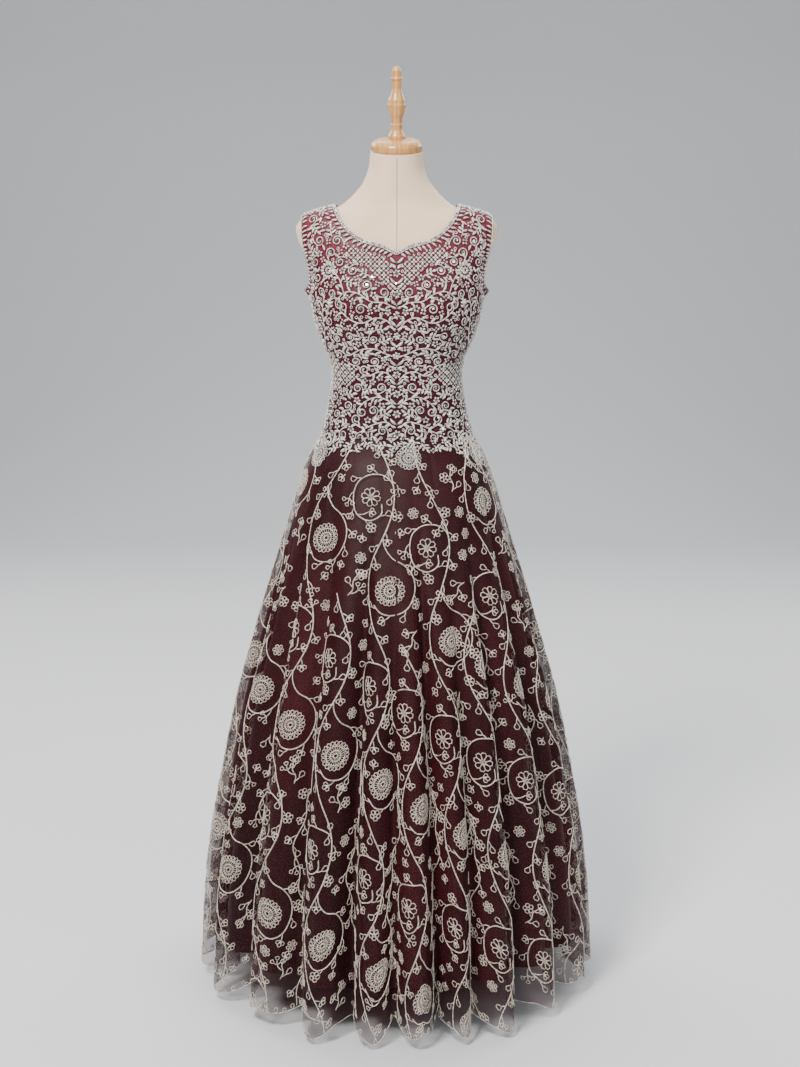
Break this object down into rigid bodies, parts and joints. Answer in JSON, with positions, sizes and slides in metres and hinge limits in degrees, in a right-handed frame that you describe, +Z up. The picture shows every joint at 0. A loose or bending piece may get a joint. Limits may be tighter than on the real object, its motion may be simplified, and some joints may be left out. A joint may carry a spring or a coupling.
{
  "type": "net gown on a dress form",
  "caption": "Sleeveless floor-length gown of embroidered net over a lining, with a gathered skirt in deep folds, on a limbless dress form with a wooden finial.",
  "frame": {"origin": "middle of the stand's underside, on the floor below the pole", "axes": "+Z up; the gown's front faces -Y; the wearer's left is +X"},
  "size_m": [0.7698, 0.786, 1.7566],
  "materials": {
    "net": "sheer maroon net with ivory thread embroidery",
    "lining": "soft maroon crepe",
    "form_cloth": "cream stretched jersey",
    "wood": "varnished honey-coloured turned wood",
    "stand_metal": "black satin paint"
  },
  "bodies": {
    "root": {"bodice_net_front": "net", "bodice_net_back_left": "net", "bodice_net_back_right": "net", "back_placket": "net", "bodice_lining_front": "lining", "bodice_lining_back_left": "lining", "bodice_lining_back_right": "lining", "skirt_net_front": "net", "skirt_net_back": "net", "skirt_lining_front": "lining", "skirt_lining_back": "lining", "form_torso": "form_cloth", "form_neck_cap": "wood", "form_finial": "wood", "form_pole": "stand_metal", "form_base": "stand_metal"}
  },
  "joints": []
}
